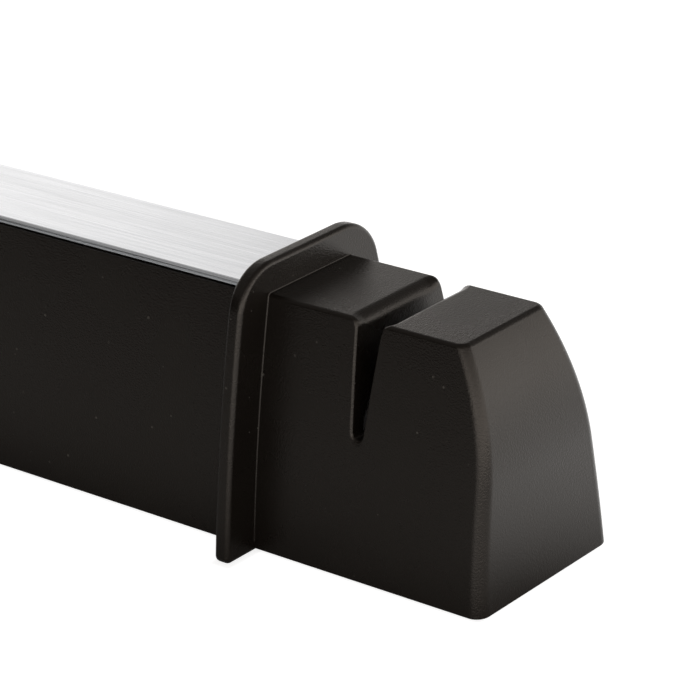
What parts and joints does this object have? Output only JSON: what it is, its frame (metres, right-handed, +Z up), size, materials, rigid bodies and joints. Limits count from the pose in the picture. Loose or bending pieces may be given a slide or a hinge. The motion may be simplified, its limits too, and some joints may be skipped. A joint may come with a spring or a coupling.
{
  "type": "pull-through knife sharpener",
  "caption": "Pull-through knife sharpener: a tapered black plastic housing with a steel-topped grip, a guard plate and a slotted head over free-turning ceramic wheels.",
  "frame": {"origin": "middle of the bounding box's footprint, on the surface that the feet stand on", "axes": "+X from the grip towards the slotted head, +Y towards the back, +Z up"},
  "size_m": [0.21, 0.055, 0.0552],
  "materials": {
    "black_plastic": "fine moulded texture",
    "base_plastic": "plain moulded",
    "satin_steel": "satin, brushed along the grip",
    "screw_zinc": "zinc plated",
    "pin_steel": "ground",
    "wheel_ceramic": "fine dark abrasive, unglazed",
    "cradle_plastic": "plain moulded",
    "bush_nylon": "natural",
    "foot_rubber": "matte"
  },
  "bodies": {
    "housing": {"body_shell": "black_plastic", "handle_top_plate": "satin_steel", "base_plate": "base_plastic", "rubber_foot_1": "foot_rubber", "rubber_foot_2": "foot_rubber", "rubber_foot_3": "foot_rubber", "rubber_foot_4": "foot_rubber", "base_screw_1": "screw_zinc", "base_screw_2": "screw_zinc", "base_screw_3": "screw_zinc", "base_screw_4": "screw_zinc", "cradle_screw_1": "screw_zinc", "cradle_screw_2": "screw_zinc", "wheel_cradle": "cradle_plastic", "wheel_axle": "pin_steel", "left_thrust_washer": "pin_steel", "right_thrust_washer": "pin_steel", "left_axle_clip": "pin_steel", "right_axle_clip": "pin_steel"},
    "left_roller": {"left_wheel": "wheel_ceramic", "left_wheel_bush": "bush_nylon"},
    "right_roller": {"right_wheel": "wheel_ceramic", "right_wheel_bush": "bush_nylon"}
  },
  "joints": [
    {"name": "left_wheel_spin", "type": "hinge", "parent": "housing", "child": "left_roller", "pos_m": [0.0753, 0, 0.0248], "axis": [1, 0, 0], "continuous": true},
    {"name": "right_wheel_spin", "type": "hinge", "parent": "housing", "child": "right_roller", "pos_m": [0.0753, 0, 0.0248], "axis": [1, 0, 0], "continuous": true}
  ]
}
